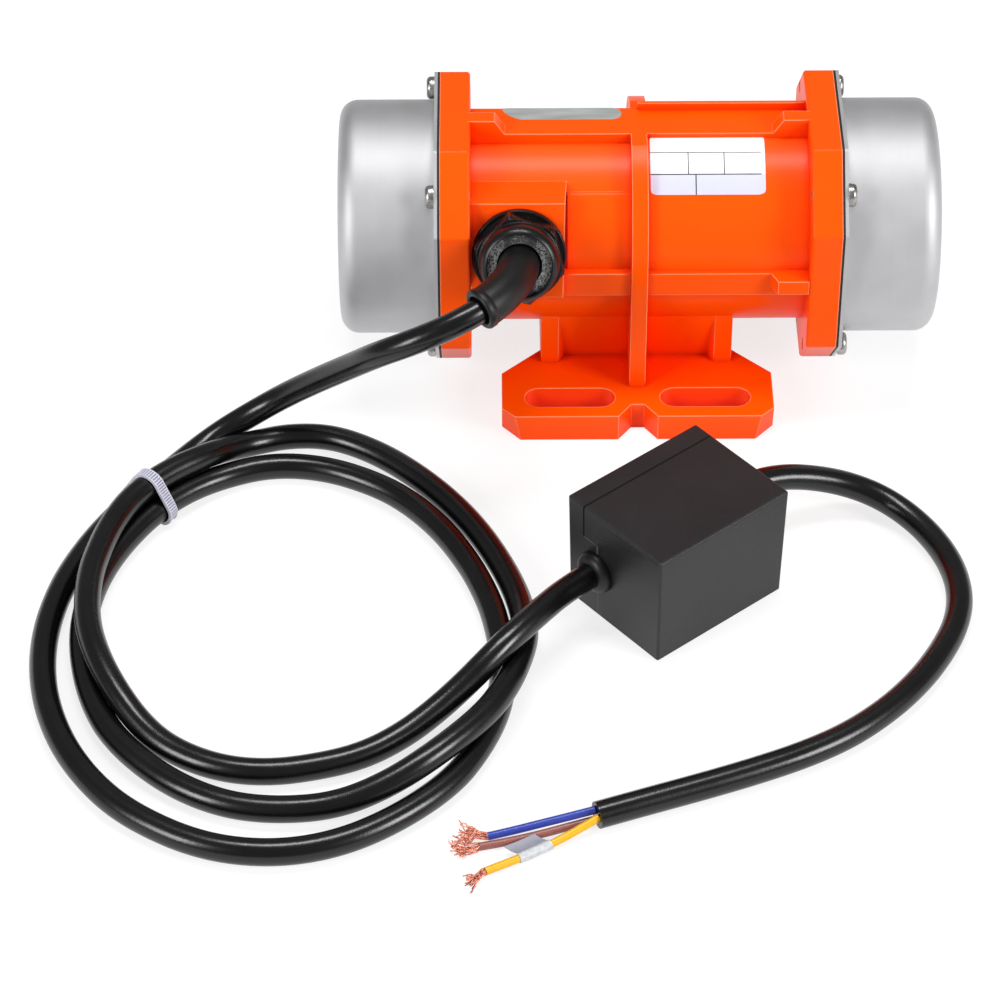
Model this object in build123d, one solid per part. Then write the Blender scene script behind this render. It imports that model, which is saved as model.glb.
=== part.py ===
from build123d import *
import math
import os

# Single-phase vibration motor: cast housing on a slotted foot, two drawn steel covers
# over the eccentric weights, a cable gland, a coiled lead, a capacitor box and a tail lead.
# Millimetres, +X along the shaft, +Z up. The origin is the centre of the four foot slots,
# on the mounting face.

os.makedirs("parts", exist_ok=True)

# Overall sizes
overall_length = 180.0
axis_z = 47.05
half = overall_length / 2

# Flanges: an upright square with its four corners cut off
flange_x = 59.5
flange_t = 9.1
flange_half = 39.06
flange_corner = 18.47
flange_round = 1.2
flange_edge = 1.0

# Cast body between the flanges
barrel_r = 31.5
label_r = 33.2
step_r = 32.2
step_z = 24.0
bore_r = 27.0
band_r = 36.3
band_half = 2.44
crown_z = 34.4
pad_front_y = -5.5
pad_rear_y = 7.8
rear_rib_w = 1.2
rear_rib_h = 2.5
gusset_w = 4.8
gusset_len = 7.3
gusset_ramp = 3.0
ledge_y = 34.6
ledge_half = 3.95
lug_len = 11.2
lug_slant = 1.9
lug_y = 38.8
lug_h = 4.75

# Gland pad on the left front
gland_pad_x = -21.6
gland_pad_draft = 1.3
gland_pad_top = 26.0
gland_pad_back_y = -15.0
gland_pad_top_y = -29.0
gland_pad_toe_y = -39.8
gland_pad_toe_z = -0.6
gland_pad_foot_y = -36.0

# Pedestal
post_x = 29.18
post_w = 5.4
post_flare = 1.8
post_y = 24.1
web_y = 20.7
web_top_z = 26.8

# Foot
foot_t = 9.07
foot_half_x = 41.23
foot_half_y = 50.37
foot_cut_top = (3.92, 3.85)
foot_cut_base = (5.57, 6.4)
ear_inner_y = 29.66
ear_slope_y = 11.65
notch_half = 5.94
notch_root_half = 1.97
notch_depth = 5.65
slot_len = 27.45
slot_w = 8.94
slot_x = 20.56
slot_y = 41.28

# Clearances
seat_gap = 0.05
rotor_gap = 0.4
weight_gap = 0.4
screw_gap = 0.1

# Covers, gaskets and their screws
cover_r = 35.5
cover_wall = 1.0
cover_round = 5.5
gasket_t = 0.7
screw_pos = 28.0
screw_r = 2.0
screw_len = 9.5
head_r = 3.5
head_h = 2.6
head_round = 1.3
recess_len = 3.8
recess_w = 0.9
recess_depth = 1.3

# Bearings and end shields
shield_r = 36.0
shield_rim_t = 4.0
shield_in = 47.5
shield_web_t = 4.0
shield_hub_t = 3.5
shield_step = 2.0
bearing_x = 49.5
bearing_w = 9.0
bearing_outer_r = 15.0
bearing_race_r = 12.3
bearing_inner_race_r = 7.7
bearing_bore_r = 5.0
ball_r = 2.25
race_lip = 0.6
ball_count = 8
cage_t = 0.9
cage_w = 2.0
lip_r = 11.0

# Stator and rotor
stator_half = 24.0
stator_in_r = 14.0
slot_count = 12
slot_in_r = 15.6
slot_out_r = 22.4
slot_width = 4.2
winding_gap = 0.1
winding_overhang = 13.0
winding_round = 2.5
winding_step = 1.0
rotor_half = 25.0
bar_count = 14
bar_r = 1.3
bar_circle_r = 11.3
ring_t = 4.5
bar_step = 1.0
ring_in_r = 8.6
shaft_core_r = 7.0
shaft_shoulder_r = 6.5
shaft_room = 5.5
shaft_chamfer = 0.8
key_w = 3.0
key_h = 3.0

# Eccentric weights: a fixed one and an adjustable one on each shaft end
weight_room = 10.1
weight_r = 30.0
weight_hub_r = 9.0
weight_spread = 75.0
weight_boss_r = 7.4
weight_boss_len = 4.0
clamp_half_w = 8.0
clamp_top = 13.5
clamp_slit = 1.6
clamp_bolt_z = 9.2
clamp_bolt_share = 0.235
clamp_head_share = 0.4
clamp_head_h = 3.6
clamp_socket_r = 1.6
circlip_t = 1.0
circlip_r = 8.0
circlip_groove_r = 4.5
circlip_gap = 1.5

# Gland
gland_x = -36.0
gland_down = 15.35
gland_flange_r = 14.0
gland_flange_t = 2.0
gland_hex_flats = 24.0
gland_hex_t = 6.0
gland_hex_turn = 24.0
gland_thread_r = 8.0
gland_thread_len = 8.5
gland_bore_r = 6.25
nut_r = 11.7
nut_h = 6.4
nut_round = 3.0
nut_bore_r = 9.6
seal_h = 4.8
seal_in_r = 6.7
sleeve_r = 6.1

# Cable
cable_r = 3.85
core_r = 1.15
bend_share = 0.45
sleeve_edge_count = 7
lead_points = [
    (-36.0, -47.7, 64.1),
    (-38.0, -55.4, 65.6),
    (-42.2, -61.4, 63.4),
    (-48.4, -64.8, 59.7),
    (-56.2, -65.3, 55.6),
    (-65.2, -63.0, 49.8),
    (-76.0, -58.4, 40.8),
    (-87.0, -53.8, 31.5),
    (-97.8, -50.6, 23.0),
    (-108.0, -48.2, 14.8),
    (-117.4, -48.6, 8.4),
    (-125.0, -52.9, 4.6),
    (-130.9, -58.8, 3.9),
]
box_points = [
    (-90.3, -193.7, 3.85),
    (-79.0, -189.3, 3.85),
    (-68.5, -182.5, 5.0),
    (-59.8, -175.8, 7.8),
    (-52.5, -169.6, 11.0),
    (-45.6, -163.9, 14.1),
    (-39.0, -157.6, 16.9),
    (-31.6, -147.9, 17.9),
    (-22.8, -135.9, 17.0),
    (-13.2, -127.9, 17.0),
]
tail_points = [
    (21.4, -99.1, 17.0),
    (31.0, -91.1, 17.0),
    (40.3, -86.6, 15.9),
    (50.0, -83.6, 13.0),
    (60.4, -82.4, 9.5),
    (70.5, -84.6, 6.3),
    (79.0, -91.4, 4.4),
    (85.5, -101.6, 3.9),
    (89.6, -113.5, 3.85),
    (90.7, -126.0, 3.85),
    (88.2, -138.3, 3.85),
    (82.8, -150.0, 3.85),
    (75.6, -161.5, 3.85),
    (66.0, -172.8, 3.85),
    (54.0, -183.2, 3.85),
    (40.5, -191.0, 3.85),
    (26.0, -197.4, 3.85),
    (12.2, -202.8, 3.85),
    (-1.7, -207.9, 3.85),
    (-16.3, -213.4, 3.85),
]

# Bared cores
blue_points = [
    (-16.8, -212.1, 4.6),
    (-23.8, -213.2, 3.6),
    (-31.2, -215.0, 2.2),
    (-38.6, -217.0, 1.3),
    (-45.9, -218.6, 1.2),
]
brown_points = [
    (-16.5, -213.3, 2.2),
    (-23.8, -216.0, 1.5),
    (-31.6, -218.7, 1.2),
    (-39.8, -220.9, 1.2),
    (-48.3, -222.6, 1.3),
]
yellow_points = [
    (-15.9, -214.7, 4.2),
    (-22.2, -218.4, 2.7),
    (-29.5, -222.4, 1.4),
    (-38.0, -227.4, 1.2),
    (-46.6, -231.6, 1.2),
]
strand_len = 8.0
strand_r = (0.9, 1.7)
strand_lift = 5.0
tag_start = (-30.6, -223.1, 1.35)
tag_end = (-38.6, -227.7, 1.25)
tag_wall = 0.25
tag_gap = 0.12
tag_flag_w = 3.4

# Coil, as angles and radii about its centre
coil_x = -105.0
coil_y = -141.0
coil_outer = [
    (109, 89.1), (113.9, 85.3), (121.4, 80.6), (133.6, 76.0), (147, 72.5), (163.5, 70.8),
    (181, 71.0), (199.5, 73.3), (216, 76.9), (236, 82.6), (257, 88.7), (270, 89.8),
    (282, 88.4), (294.5, 84.9), (309, 81.1), (324, 77.5), (338, 74.6), (353, 73.3),
    (371, 73.2), (386, 73.9), (398, 75.7), (411, 79.3), (422.7, 83.8), (433, 88.1),
    (442, 91.2), (450, 92.0), (457, 88.4), (462, 84.2), (467, 81.6),
]
coil_inner = [
    (285, 51.0), (267, 51.4), (254, 51.6), (238, 50.4), (217, 49.1), (200, 48.9),
    (182, 50.4), (163.6, 53.7), (147, 57.1), (133, 60.0), (125, 61.6), (116.6, 64.3),
    (107, 68.1), (94, 70.7), (81, 69.9), (67, 66.5), (57, 63.5), (44.5, 60.2),
    (30, 57.6), (14, 56.8), (2, 58.5), (-10, 61.0), (-26, 65.6), (-39.4, 67.6),
    (-56, 67.6), (-74, 67.2),
]
upper_outer = [(112, 76.0), (124, 73.8), (140, 69.0), (156, 64.0), (175, 60.6), (200, 59.5)]
upper_inner = [(200, 50.5), (175, 52.2), (156, 56.3), (140, 61.3), (124, 66.1), (112, 68.3)]
cross_outer = [(-50, 75.9), (-39, 75.7), (-29, 75.3)]
cross_inner = [(-29, 68.6), (-39, 68.4), (-50, 68.2)]

# Cable tie
tie_angle = 128.0
tie_r = 69.2
tie_rise = 6.67
tie_w = 3.4
tie_room = 0.9
strap_t = 1.1
tie_head_size = (4.0, 5.6)
tie_head_w = 4.8
tie_head_drop = 0.4

# Capacitor box
box_x = 8.62
box_y = -118.95
box_turn = 39.8
box_len = 49.0
box_wid = 39.4
box_h = 37.6
box_draft = 1.0
box_wall = 2.0
box_edge = 0.7
seam_w = 12.9
seam_z = 26.5
seam_gap = 0.15
hole_w = 7.1
hole_z = 17.0
hole_r = 5.2
grommet_r = 6.5
grommet_t = 3.2
grommet_round = 2.56
grommet_lip = 1.0
cap_len = 38.0
cap_wid = 26.0
cap_round = 4.0


def across(x):
    return Plane(origin=(x, 0, axis_z), x_dir=(0, 1, 0), z_dir=(1, 0, 0))


def slab(sketch, x0, x1):
    return extrude(across(x0) * sketch, x1 - x0)


def disc(radius, x0, x1):
    return slab(Circle(radius), x0, x1)


def turned(points):
    side = Plane(origin=(0, 0, axis_z), x_dir=(1, 0, 0), z_dir=(0, -1, 0))
    face = make_face(Polyline(*points, close=True))
    return revolve(side * face, Axis((0, 0, axis_z), (1, 0, 0)), 360)


def oblong(y0, y1, z0, z1):
    return Pos((y0 + y1) / 2, (z0 + z1) / 2) * Rectangle(y1 - y0, z1 - z0)


def cut_square(side, corner, rounding):
    outline = chamfer(Rectangle(2 * side, 2 * side).vertices(), corner)
    return fillet(outline.vertices(), rounding)


def pattern(places, shape):
    return Sketch() + [place * shape for place in places]


def both_ends(part):
    return part + mirror(part, Plane.YZ)


def save(shape, name):
    export_step(shape, f"parts/{name}.step")


# Housing: barrel, flanges, middle band and the ridge along the crown
flange_in = flange_x - flange_t
flange_sketch = cut_square(flange_half, flange_corner, flange_round)
housing = disc(barrel_r, -flange_in, flange_in)
flange = slab(flange_sketch, flange_in, flange_x)
flange = fillet(flange.edges().group_by(Axis.X)[0], flange_edge)
housing += both_ends(flange)
rib_drop = axis_z - foot_t / 2
band = Circle(band_r) + oblong(-band_r, band_r, -rib_drop, 0)
band -= oblong(-band_r, band_r, crown_z, 2 * band_r)
housing += slab(band, -band_half, band_half)
housing += slab(oblong(pad_front_y, pad_rear_y, 0, crown_z), -flange_in, flange_in)

# Raised fields of the right and left front quarters
label_field = Circle(label_r) & oblong(-label_r, pad_front_y, 0, label_r)
housing += slab(label_field, 0, flange_in)
step_field = Circle(step_r) & oblong(-step_r, pad_front_y, 0, step_z)
housing += slab(step_field, gland_pad_x, 0)

# Ledges along the parting plane, front and rear
housing += slab(oblong(-ledge_y, ledge_y, -ledge_half, ledge_half), -flange_in, flange_in)

# Lug at the right end of the front ledge
lug_points = [
    (flange_in, 0),
    (flange_in, -lug_y),
    (flange_in - lug_len + lug_slant, -lug_y),
    (flange_in - lug_len, -ledge_y),
    (flange_in - lug_len, 0),
]
lug_face = Pos(0, 0, axis_z + ledge_half - lug_h) * make_face(Polyline(*lug_points, close=True))
housing += extrude(lug_face, lug_h)

# Rib along the rear edge of the crown ridge, on the right half
rear_rib = oblong(pad_rear_y - rear_rib_w, pad_rear_y, 0, crown_z + rear_rib_h)
housing += slab(rear_rib, 0, flange_in)

# Gussets from each flange down on to the ridge
gusset_points = [
    (flange_in + flange_edge, 0),
    (flange_in + flange_edge, flange_half),
    (flange_in - gusset_len, flange_half),
    (flange_in - gusset_len - gusset_ramp, crown_z),
    (flange_in - gusset_len - gusset_ramp, 0),
]
gusset_plane = Plane(origin=(0, pad_front_y, axis_z), x_dir=(1, 0, 0), z_dir=(0, -1, 0))
gusset = extrude(gusset_plane * make_face(Polyline(*gusset_points, close=True)), -gusset_w)
housing += both_ends(gusset)

# Gland pad: its front leans back so that the gland looks up
pad_section = [
    (gland_pad_back_y, gland_pad_top),
    (gland_pad_top_y, gland_pad_top),
    (gland_pad_toe_y, gland_pad_toe_z),
    (gland_pad_foot_y, -ledge_half),
    (gland_pad_back_y, -ledge_half),
]
pad_body = slab(make_face(Polyline(*pad_section, close=True)), -flange_in, gland_pad_x)
pad_plan = [
    (-flange_in, 0),
    (gland_pad_x, 0),
    (gland_pad_x, -barrel_r / 2),
    (gland_pad_x - gland_pad_draft, gland_pad_toe_y),
    (-flange_in, gland_pad_toe_y),
]
pad_side = extrude(make_face(Polyline(*pad_plan, close=True)), 2 * axis_z)
housing += pad_body & pad_side

# Pedestal: two end posts with drafted inner sides, joined by a web that leans back downward
pedestal_foot = foot_t / 2
pedestal_top = axis_z - barrel_r / 2
post_inner_x = post_x - post_w
post_plan = [
    (post_x, -post_y),
    (post_inner_x, -post_y),
    (post_inner_x - post_flare, -web_y),
    (post_inner_x - post_flare, web_y),
    (post_inner_x, post_y),
    (post_x, post_y),
]
post = Pos(0, 0, pedestal_foot) * make_face(Polyline(*post_plan, close=True))
housing += both_ends(extrude(post, pedestal_top - pedestal_foot))
web_section = [
    (-web_y, pedestal_foot),
    (-web_y, foot_t),
    (-post_y, web_top_z),
    (-post_y, pedestal_top),
    (post_y, pedestal_top),
    (post_y, web_top_z),
    (web_y, foot_t),
    (web_y, pedestal_foot),
]
web_plane = Plane(origin=(-post_inner_x, 0, 0), x_dir=(0, 1, 0), z_dir=(1, 0, 0))
housing += extrude(web_plane * make_face(Polyline(*web_section, close=True)), 2 * post_inner_x)


# Foot: four ears with corners that draft outward to the top, a notch front and rear
def foot_outline(cut):
    quarter = [
        (notch_root_half, -foot_half_y + notch_depth),
        (notch_half, -foot_half_y),
        (foot_half_x - cut[0], -foot_half_y),
        (foot_half_x, -foot_half_y + cut[1]),
        (foot_half_x, -ear_inner_y),
        (post_x, -ear_inner_y + ear_slope_y),
    ]
    right = quarter + [(x, -y) for x, y in reversed(quarter)]
    return right + [(-x, y) for x, y in reversed(right)]


foot_base = make_face(Polyline(*foot_outline(foot_cut_base), close=True))
foot_top = make_face(Polyline(*foot_outline(foot_cut_top), close=True))
foot = loft([foot_base, Pos(0, 0, foot_t) * foot_top], ruled=True)
slots = pattern(GridLocations(2 * slot_x, 2 * slot_y, 2, 2), SlotOverall(slot_len, slot_w))
foot -= extrude(slots, foot_t)
housing += foot

# Bore, end recesses and cover screw holes
housing -= disc(bore_r, -flange_x, flange_x)
recess_x = flange_x - shield_rim_t
housing -= both_ends(disc(shield_r + seat_gap, recess_x, flange_x))
screw_places = GridLocations(2 * screw_pos, 2 * screw_pos, 2, 2)
screw_holes = pattern(screw_places, Circle(screw_r + screw_gap))
housing -= both_ends(slab(screw_holes, flange_in, flange_x))

# Gland frame: its local +Z leaves the pad's sloping face
tilt = math.atan2(gland_pad_top_y - gland_pad_toe_y, gland_pad_top - gland_pad_toe_z)
gland_dir = (0, -math.cos(tilt), math.sin(tilt))
gland_y = gland_pad_top_y - gland_down * math.sin(tilt)
gland_z = axis_z + gland_pad_top - gland_down * math.cos(tilt)
gland_plane = Plane(origin=(gland_x, gland_y, gland_z), x_dir=(1, 0, 0), z_dir=gland_dir)


def on_gland(sketch, h0, h1):
    return extrude(gland_plane.offset(h0) * sketch, h1 - h0)


housing -= on_gland(Circle(gland_thread_r + seat_gap), -2 * gland_thread_len, 1)
save(housing, "housing")

# End shields carry the bearings and sit in the flange recesses, under the cover plates
shield_bore_end = bearing_x + bearing_w
end_shield = turned([
    (shield_in, bearing_outer_r - shield_step),
    (bearing_x, bearing_outer_r - shield_step),
    (bearing_x, bearing_outer_r + seat_gap),
    (shield_bore_end, bearing_outer_r + seat_gap),
    (shield_bore_end, lip_r),
    (flange_x, lip_r),
    (flange_x, shield_r),
    (recess_x, shield_r),
    (recess_x, bore_r - seat_gap),
    (shield_in + shield_web_t, bore_r - seat_gap),
    (shield_in + shield_web_t, bearing_outer_r + shield_hub_t),
    (shield_in, bearing_outer_r + shield_hub_t),
])
save(end_shield, "end_shield_right")
save(mirror(end_shield, Plane.YZ), "end_shield_left")


# Drawn covers with a flat plate of the flange's outline, on a thin gasket
def cup(radius, x_end, corner):
    body = disc(radius, flange_x + gasket_t, x_end)
    rim = body.edges().filter_by(GeomType.CIRCLE).sort_by(Axis.X)[-1]
    return fillet(rim, corner)


cover_x = flange_x + gasket_t
cover = cup(cover_r, half, cover_round)
cover += slab(flange_sketch - screw_holes, cover_x, cover_x + cover_wall)
cover -= cup(cover_r - cover_wall, half - cover_wall, cover_round - cover_wall)
save(cover, "cover_right")
save(mirror(cover, Plane.YZ), "cover_left")

gasket = slab(flange_sketch - screw_holes - Circle(cover_r - cover_wall), flange_x, cover_x)
save(gasket, "gasket_right")
save(mirror(gasket, Plane.YZ), "gasket_left")


# Pan-head cover screws with a cross recess, four at each end
def cover_screw():
    head = Cylinder(head_r, head_h, align=(Align.CENTER, Align.CENTER, Align.MIN))
    head = fillet(head.edges().sort_by(Axis.Z)[-1], head_round)
    recess = Rectangle(recess_len, recess_w) + Rectangle(recess_w, recess_len)
    head -= extrude(Pos(0, 0, head_h) * recess, -recess_depth)
    return head + extrude(Circle(screw_r), -screw_len)


screw = cover_screw()
screw_plane = across(cover_x + cover_wall)
cover_screws = Compound([screw_plane * place * screw for place in screw_places])
save(cover_screws, "cover_screws_right")
save(mirror(cover_screws, Plane.YZ), "cover_screws_left")


# Ball bearings
def ring(r0, r1, groove_r, x0, x1):
    middle = (x0 + x1) / 2
    blank = turned([(x0, r0), (x0, r1), (x1, r1), (x1, r0)])
    profile = Plane(origin=(middle, 0, axis_z + pitch_r), x_dir=(1, 0, 0), z_dir=(0, -1, 0))
    groove = revolve(profile * Circle(groove_r), Axis((0, 0, axis_z), (1, 0, 0)), 360)
    return blank - groove


pitch_r = (bearing_race_r + bearing_inner_race_r) / 2
groove_r = ball_r + seat_gap
outer_ring = ring(bearing_race_r - race_lip, bearing_outer_r, groove_r, bearing_x, shield_bore_end)
inner_r = bearing_inner_race_r + race_lip
inner_ring = ring(bearing_bore_r, inner_r, groove_r, bearing_x, shield_bore_end)
bearing_mid = bearing_x + bearing_w / 2
cage = turned([
    (bearing_mid - cage_w / 2, pitch_r - cage_t / 2),
    (bearing_mid - cage_w / 2, pitch_r + cage_t / 2),
    (bearing_mid + cage_w / 2, pitch_r + cage_t / 2),
    (bearing_mid + cage_w / 2, pitch_r - cage_t / 2),
])
for place in PolarLocations(pitch_r, ball_count):
    cage += across(bearing_mid) * place * Sphere(ball_r)
for name, shape in (("outer", outer_ring), ("inner", inner_ring), ("balls", cage)):
    save(shape, f"bearing_{name}_right")
    save(mirror(shape, Plane.YZ), f"bearing_{name}_left")

# Stator: slotted core and its winding, one coil side in each slot
lamination = Circle(bore_r - seat_gap) - Circle(stator_in_r)
slot_depth = slot_out_r - slot_in_r
slot_places = PolarLocations((slot_in_r + slot_out_r) / 2, slot_count)
lamination -= pattern(slot_places, Rectangle(slot_depth, slot_width))
save(slab(lamination, -stator_half, stator_half), "stator_core")

winding_inset = 2 * winding_gap
overhang = Circle(slot_out_r - winding_gap) - Circle(slot_in_r + winding_gap)
end_turns = slab(overhang, stator_half + winding_gap, stator_half + winding_overhang)
end_turns = fillet(end_turns.edges().filter_by(GeomType.CIRCLE).group_by(Axis.X)[-1], winding_round)
windings = both_ends(end_turns)
coil_side = Rectangle(slot_depth - winding_inset, slot_width - winding_inset)
coil_sides = pattern(slot_places, coil_side)
windings += slab(coil_sides, -stator_half - winding_step, stator_half + winding_step)
save(windings, "stator_windings")

# Rotor: core, cast cage and shaft
rotor_r = stator_in_r - rotor_gap
bar_places = PolarLocations(bar_circle_r, bar_count)
rotor_core = Circle(rotor_r) - Circle(shaft_core_r)
rotor_core -= pattern(bar_places, Circle(bar_r + seat_gap))
save(slab(rotor_core, -rotor_half, rotor_half), "rotor_core")

rotor_cage = slab(pattern(bar_places, Circle(bar_r)), -rotor_half - bar_step, rotor_half + bar_step)
end_ring = Circle(rotor_r) - Circle(ring_in_r)
rotor_cage += both_ends(slab(end_ring, rotor_half, rotor_half + ring_t))
save(rotor_cage, "rotor_cage")

fixed_x = shield_bore_end + weight_boss_len
weight_t = (half - weight_room - weight_gap - fixed_x) / 2
shaft_end = half - shaft_room
clamp_bolt_r = clamp_bolt_share * weight_t
clamp_head_r = clamp_head_share * weight_t
fixed_end = fixed_x + weight_t
loose_x = fixed_end + weight_gap
loose_end = loose_x + weight_t
clip_x = loose_end + seat_gap
shaft_half = [
    (0, shaft_core_r),
    (rotor_half, shaft_core_r),
    (rotor_half, shaft_shoulder_r),
    (bearing_x, shaft_shoulder_r),
    (bearing_x, bearing_bore_r),
    (clip_x, bearing_bore_r),
    (clip_x, circlip_groove_r),
    (clip_x + circlip_t, circlip_groove_r),
    (clip_x + circlip_t, bearing_bore_r),
    (shaft_end - shaft_chamfer, bearing_bore_r),
    (shaft_end, bearing_bore_r - shaft_chamfer),
]
shaft_left = [(-x, r) for x, r in reversed(shaft_half[1:])]
shaft = turned([(-shaft_end, 0)] + shaft_left + shaft_half[1:] + [(shaft_end, 0)])
key_y = Rectangle(key_w, key_h)
key_z = bearing_bore_r
keyway = slab(Pos(0, key_z) * key_y, fixed_x, fixed_end)
shaft -= both_ends(keyway)
save(shaft, "shaft")
save(keyway, "weight_key_right")
save(mirror(keyway, Plane.YZ), "weight_key_left")


# Weights: a sector below the shaft on a hub, the heavy side down at rest
def weight_sector():
    reach = 2 * weight_r
    spread = math.radians(weight_spread)
    tip = (reach * math.sin(spread), -reach * math.cos(spread))
    wedge = [(0, 0), tip, (tip[0], -reach), (-tip[0], -reach), (-tip[0], tip[1])]
    return (Circle(weight_r) & make_face(Polyline(*wedge, close=True))) + Circle(weight_hub_r)


key_slot = Pos(0, key_z) * Rectangle(key_w, key_h)
fixed_weight = slab(weight_sector() - Circle(bearing_bore_r) - key_slot, fixed_x, fixed_end)
fixed_weight += slab(Circle(weight_boss_r) - Circle(bearing_bore_r), shield_bore_end, fixed_x)
save(fixed_weight, "fixed_weight_right")
save(mirror(fixed_weight, Plane.YZ), "fixed_weight_left")

loose_bore_r = bearing_bore_r + seat_gap
loose_sketch = weight_sector() + oblong(-clamp_half_w, clamp_half_w, 0, clamp_top)
loose_sketch -= Circle(loose_bore_r)
loose_sketch -= oblong(-clamp_slit / 2, clamp_slit / 2, 0, clamp_top)
loose_weight = slab(loose_sketch, loose_x, loose_end)
bolt_plane = Plane(
    origin=((loose_x + loose_end) / 2, -clamp_half_w, axis_z + clamp_bolt_z),
    x_dir=(1, 0, 0),
    z_dir=(0, 1, 0),
)
loose_weight -= extrude(bolt_plane * Circle(clamp_bolt_r + seat_gap), 2 * clamp_half_w)
save(loose_weight, "adjustable_weight_right")
save(mirror(loose_weight, Plane.YZ), "adjustable_weight_left")

clamp_bolt = extrude(bolt_plane * Circle(clamp_bolt_r), 2 * clamp_half_w)
clamp_bolt += extrude(bolt_plane * Circle(clamp_head_r), -clamp_head_h)
socket_plane = bolt_plane.offset(-clamp_head_h)
clamp_bolt -= extrude(socket_plane * RegularPolygon(clamp_socket_r, 6), clamp_head_h / 2)
save(clamp_bolt, "clamp_bolt_right")
save(mirror(clamp_bolt, Plane.YZ), "clamp_bolt_left")

circlip = Circle(circlip_r) - Circle(circlip_groove_r + seat_gap)
circlip -= oblong(-circlip_gap, circlip_gap, 0, circlip_r)
circlip_part = slab(circlip, clip_x + seat_gap, clip_x + circlip_t - seat_gap)
save(circlip_part, "circlip_right")
save(mirror(circlip_part, Plane.YZ), "circlip_left")

# Gland: flanged hex body, domed clamping nut and rubber seal, drawn along local +Z
hex_top = gland_flange_t + gland_hex_t
hexagon = Rot(0, 0, gland_hex_turn) * RegularPolygon(gland_hex_flats / 2, 6, major_radius=False)
gland_body = extrude(Circle(gland_flange_r), gland_flange_t)
gland_body += extrude(Pos(0, 0, gland_flange_t) * hexagon, gland_hex_t)
gland_body += extrude(Circle(gland_thread_r), -gland_thread_len)
gland_hole = extrude(Pos(0, 0, -gland_thread_len) * Circle(gland_bore_r), gland_thread_len + hex_top)
gland_body -= gland_hole
save(gland_plane * gland_body, "gland_body")

nut = extrude(Circle(nut_r), nut_h)
nut = fillet(nut.edges().sort_by(Axis.Z)[-1], nut_round)
nut -= extrude(Circle(nut_bore_r), nut_h)
save(gland_plane * (Pos(0, 0, hex_top) * nut), "gland_nut")

seal = extrude(Circle(nut_bore_r - seat_gap) - Circle(seal_in_r), seal_h)
save(gland_plane * (Pos(0, 0, hex_top) * seal), "gland_seal")


# Cables: straight runs joined by the largest tangent arcs that the runs allow
def cable_path(points):
    route = [Vector(*p) for p in points]
    radii = []
    for before, here, after in zip(route, route[1:], route[2:]):
        turn = (here - before).get_angle(after - here)
        run = min((here - before).length, (after - here).length)
        radii.append(bend_share * run / math.tan(math.radians(turn / 2)))
    print("radii", [round(r, 1) for r in radii])
    return FilletPolyline(*points, radius=radii)


def tube(points, radius, name, hollow=0.0):
    path = cable_path(points)
    start = Plane(origin=path @ 0, z_dir=path % 0)
    section = Circle(radius) - Circle(hollow) if hollow else Circle(radius)
    solid = sweep(start * section, path=path)
    expected = math.pi * (radius**2 - hollow**2) * path.length
    print(f"{name}: length {path.length:.1f}, volume {solid.volume:.0f} of {expected:.0f}")
    save(solid, name)
    return path


# Lead from the gland down to the coil, with a rubber sleeve over its first bend
sleeve_start = gland_plane.from_local_coords((0, 0, gland_flange_t))
lead_path = tube([tuple(sleeve_start)] + lead_points, cable_r, "motor_lead")
sleeve_path = Wire(lead_path.edges()[:sleeve_edge_count])
sleeve_section = Circle(sleeve_r) - Circle(cable_r + seat_gap)
sleeve = sweep(Plane(origin=lead_path @ 0, z_dir=lead_path % 0) * sleeve_section, path=sleeve_path)
save(sleeve, "cable_sleeve")


# Coil: one closed solid of the outline of its three turns, with a groove for the tie
def coil_spots(pairs):
    spots = []
    for angle, radius in pairs:
        turn = math.radians(angle)
        spots.append((coil_x + radius * math.cos(turn), coil_y + radius * math.sin(turn)))
    return spots


def closed_outline(pairs):
    curve = Spline(*coil_spots(pairs))
    return make_face(curve + Line(curve @ 1, curve @ 0))


def strand_rise(outer, inner):
    rim = Spline(*coil_spots(outer))
    core = Spline(*coil_spots(inner))
    outline = make_face(rim + Line(rim @ 1, core @ 0) + core + Line(core @ 1, rim @ 0))
    return extrude(Pos(0, 0, cable_r) * outline, 3 * cable_r)


coil = extrude(closed_outline(coil_outer) - closed_outline(coil_inner), 2 * cable_r)
coil += strand_rise(upper_outer, upper_inner)
coil += strand_rise(cross_outer, cross_inner)


# Cable tie: a strap drawn round three stacked strands
def strands_hull(margin):
    spots = [Pos(tie_r - cable_r, strap_t), Pos(tie_r + cable_r, strap_t), Pos(tie_r, strap_t + tie_rise)]
    circles = [Pos(0, cable_r) * spot * Circle(cable_r + margin) for spot in spots]
    return make_hull([edge for circle in circles for edge in circle.edges()])


tie_turn = math.radians(tie_angle)
tie_plane = Plane(
    origin=(coil_x, coil_y, 0),
    x_dir=(math.cos(tie_turn), math.sin(tie_turn), 0),
    z_dir=(math.sin(tie_turn), -math.cos(tie_turn), 0),
)
strap = strands_hull(strap_t) - strands_hull(seat_gap)
tie = extrude(tie_plane * strap, tie_w / 2, both=True)
head_out = tie_r + 2 * cable_r + strap_t
tie_head = Pos(head_out, tie_head_drop + tie_head_size[1] / 2) * Rectangle(*tie_head_size)
head_block = extrude(tie_plane * tie_head, tie_head_w / 2, both=True)
tie += head_block - extrude(tie_plane * strands_hull(seat_gap), tie_w, both=True)
slot_w_half = tie_w / 2 + tie_room
slice_box = Pos(tie_r, 0) * Rectangle(6 * cable_r, 12 * cable_r)
coil -= extrude(tie_plane * slice_box, slot_w_half, both=True)
coil += extrude(tie_plane * strands_hull(0), slot_w_half, both=True)
save(coil, "cord_coil")
save(tie, "cable_tie")

box_path = tube(box_points, cable_r, "box_lead")
tail_path = tube(tail_points, cable_r, "tail_lead")

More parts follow.
